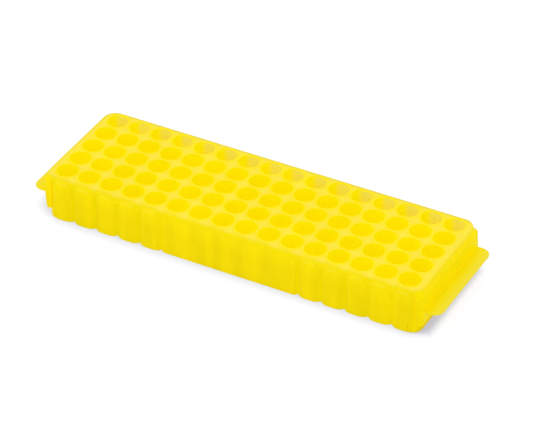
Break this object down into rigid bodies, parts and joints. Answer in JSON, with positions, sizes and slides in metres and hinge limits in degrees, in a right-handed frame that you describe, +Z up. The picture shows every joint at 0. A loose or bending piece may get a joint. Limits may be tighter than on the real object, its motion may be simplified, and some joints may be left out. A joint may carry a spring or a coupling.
{
  "type": "microtube rack",
  "caption": "Low rectangular laboratory rack of translucent yellow plastic with a grid of round wells for microcentrifuge tubes, fluted long sides and a grip flange at each end.",
  "frame": {"origin": "on the ground plane, below the centre of the deck", "axes": "+Z up, +X along the long side (16 wells), front long side faces -Y"},
  "size_m": [0.242, 0.0692, 0.0276],
  "materials": {
    "deck": "translucent natural-and-yellow polypropylene, satin",
    "cups": "translucent yellow polypropylene, satin",
    "walls": "translucent yellow polypropylene, satin with a slight gloss"
  },
  "bodies": {
    "root": {"deck_plate": "deck", "deck_skirt": "deck", "cup_row_a": "cups", "cup_row_b": "cups", "cup_row_c": "cups", "cup_row_d": "cups", "cup_row_e": "cups", "lengthwise_webs": "cups", "crosswise_webs": "cups", "front_flat_panel": "walls", "back_flat_panel": "walls", "front_left_fluted_wall": "walls", "front_right_fluted_wall": "walls", "back_left_fluted_wall": "walls", "back_right_fluted_wall": "walls", "left_end_wall": "walls", "right_end_wall": "walls", "left_base_rim": "walls", "right_base_rim": "walls", "left_grip_flange": "walls", "right_grip_flange": "walls"}
  },
  "joints": []
}
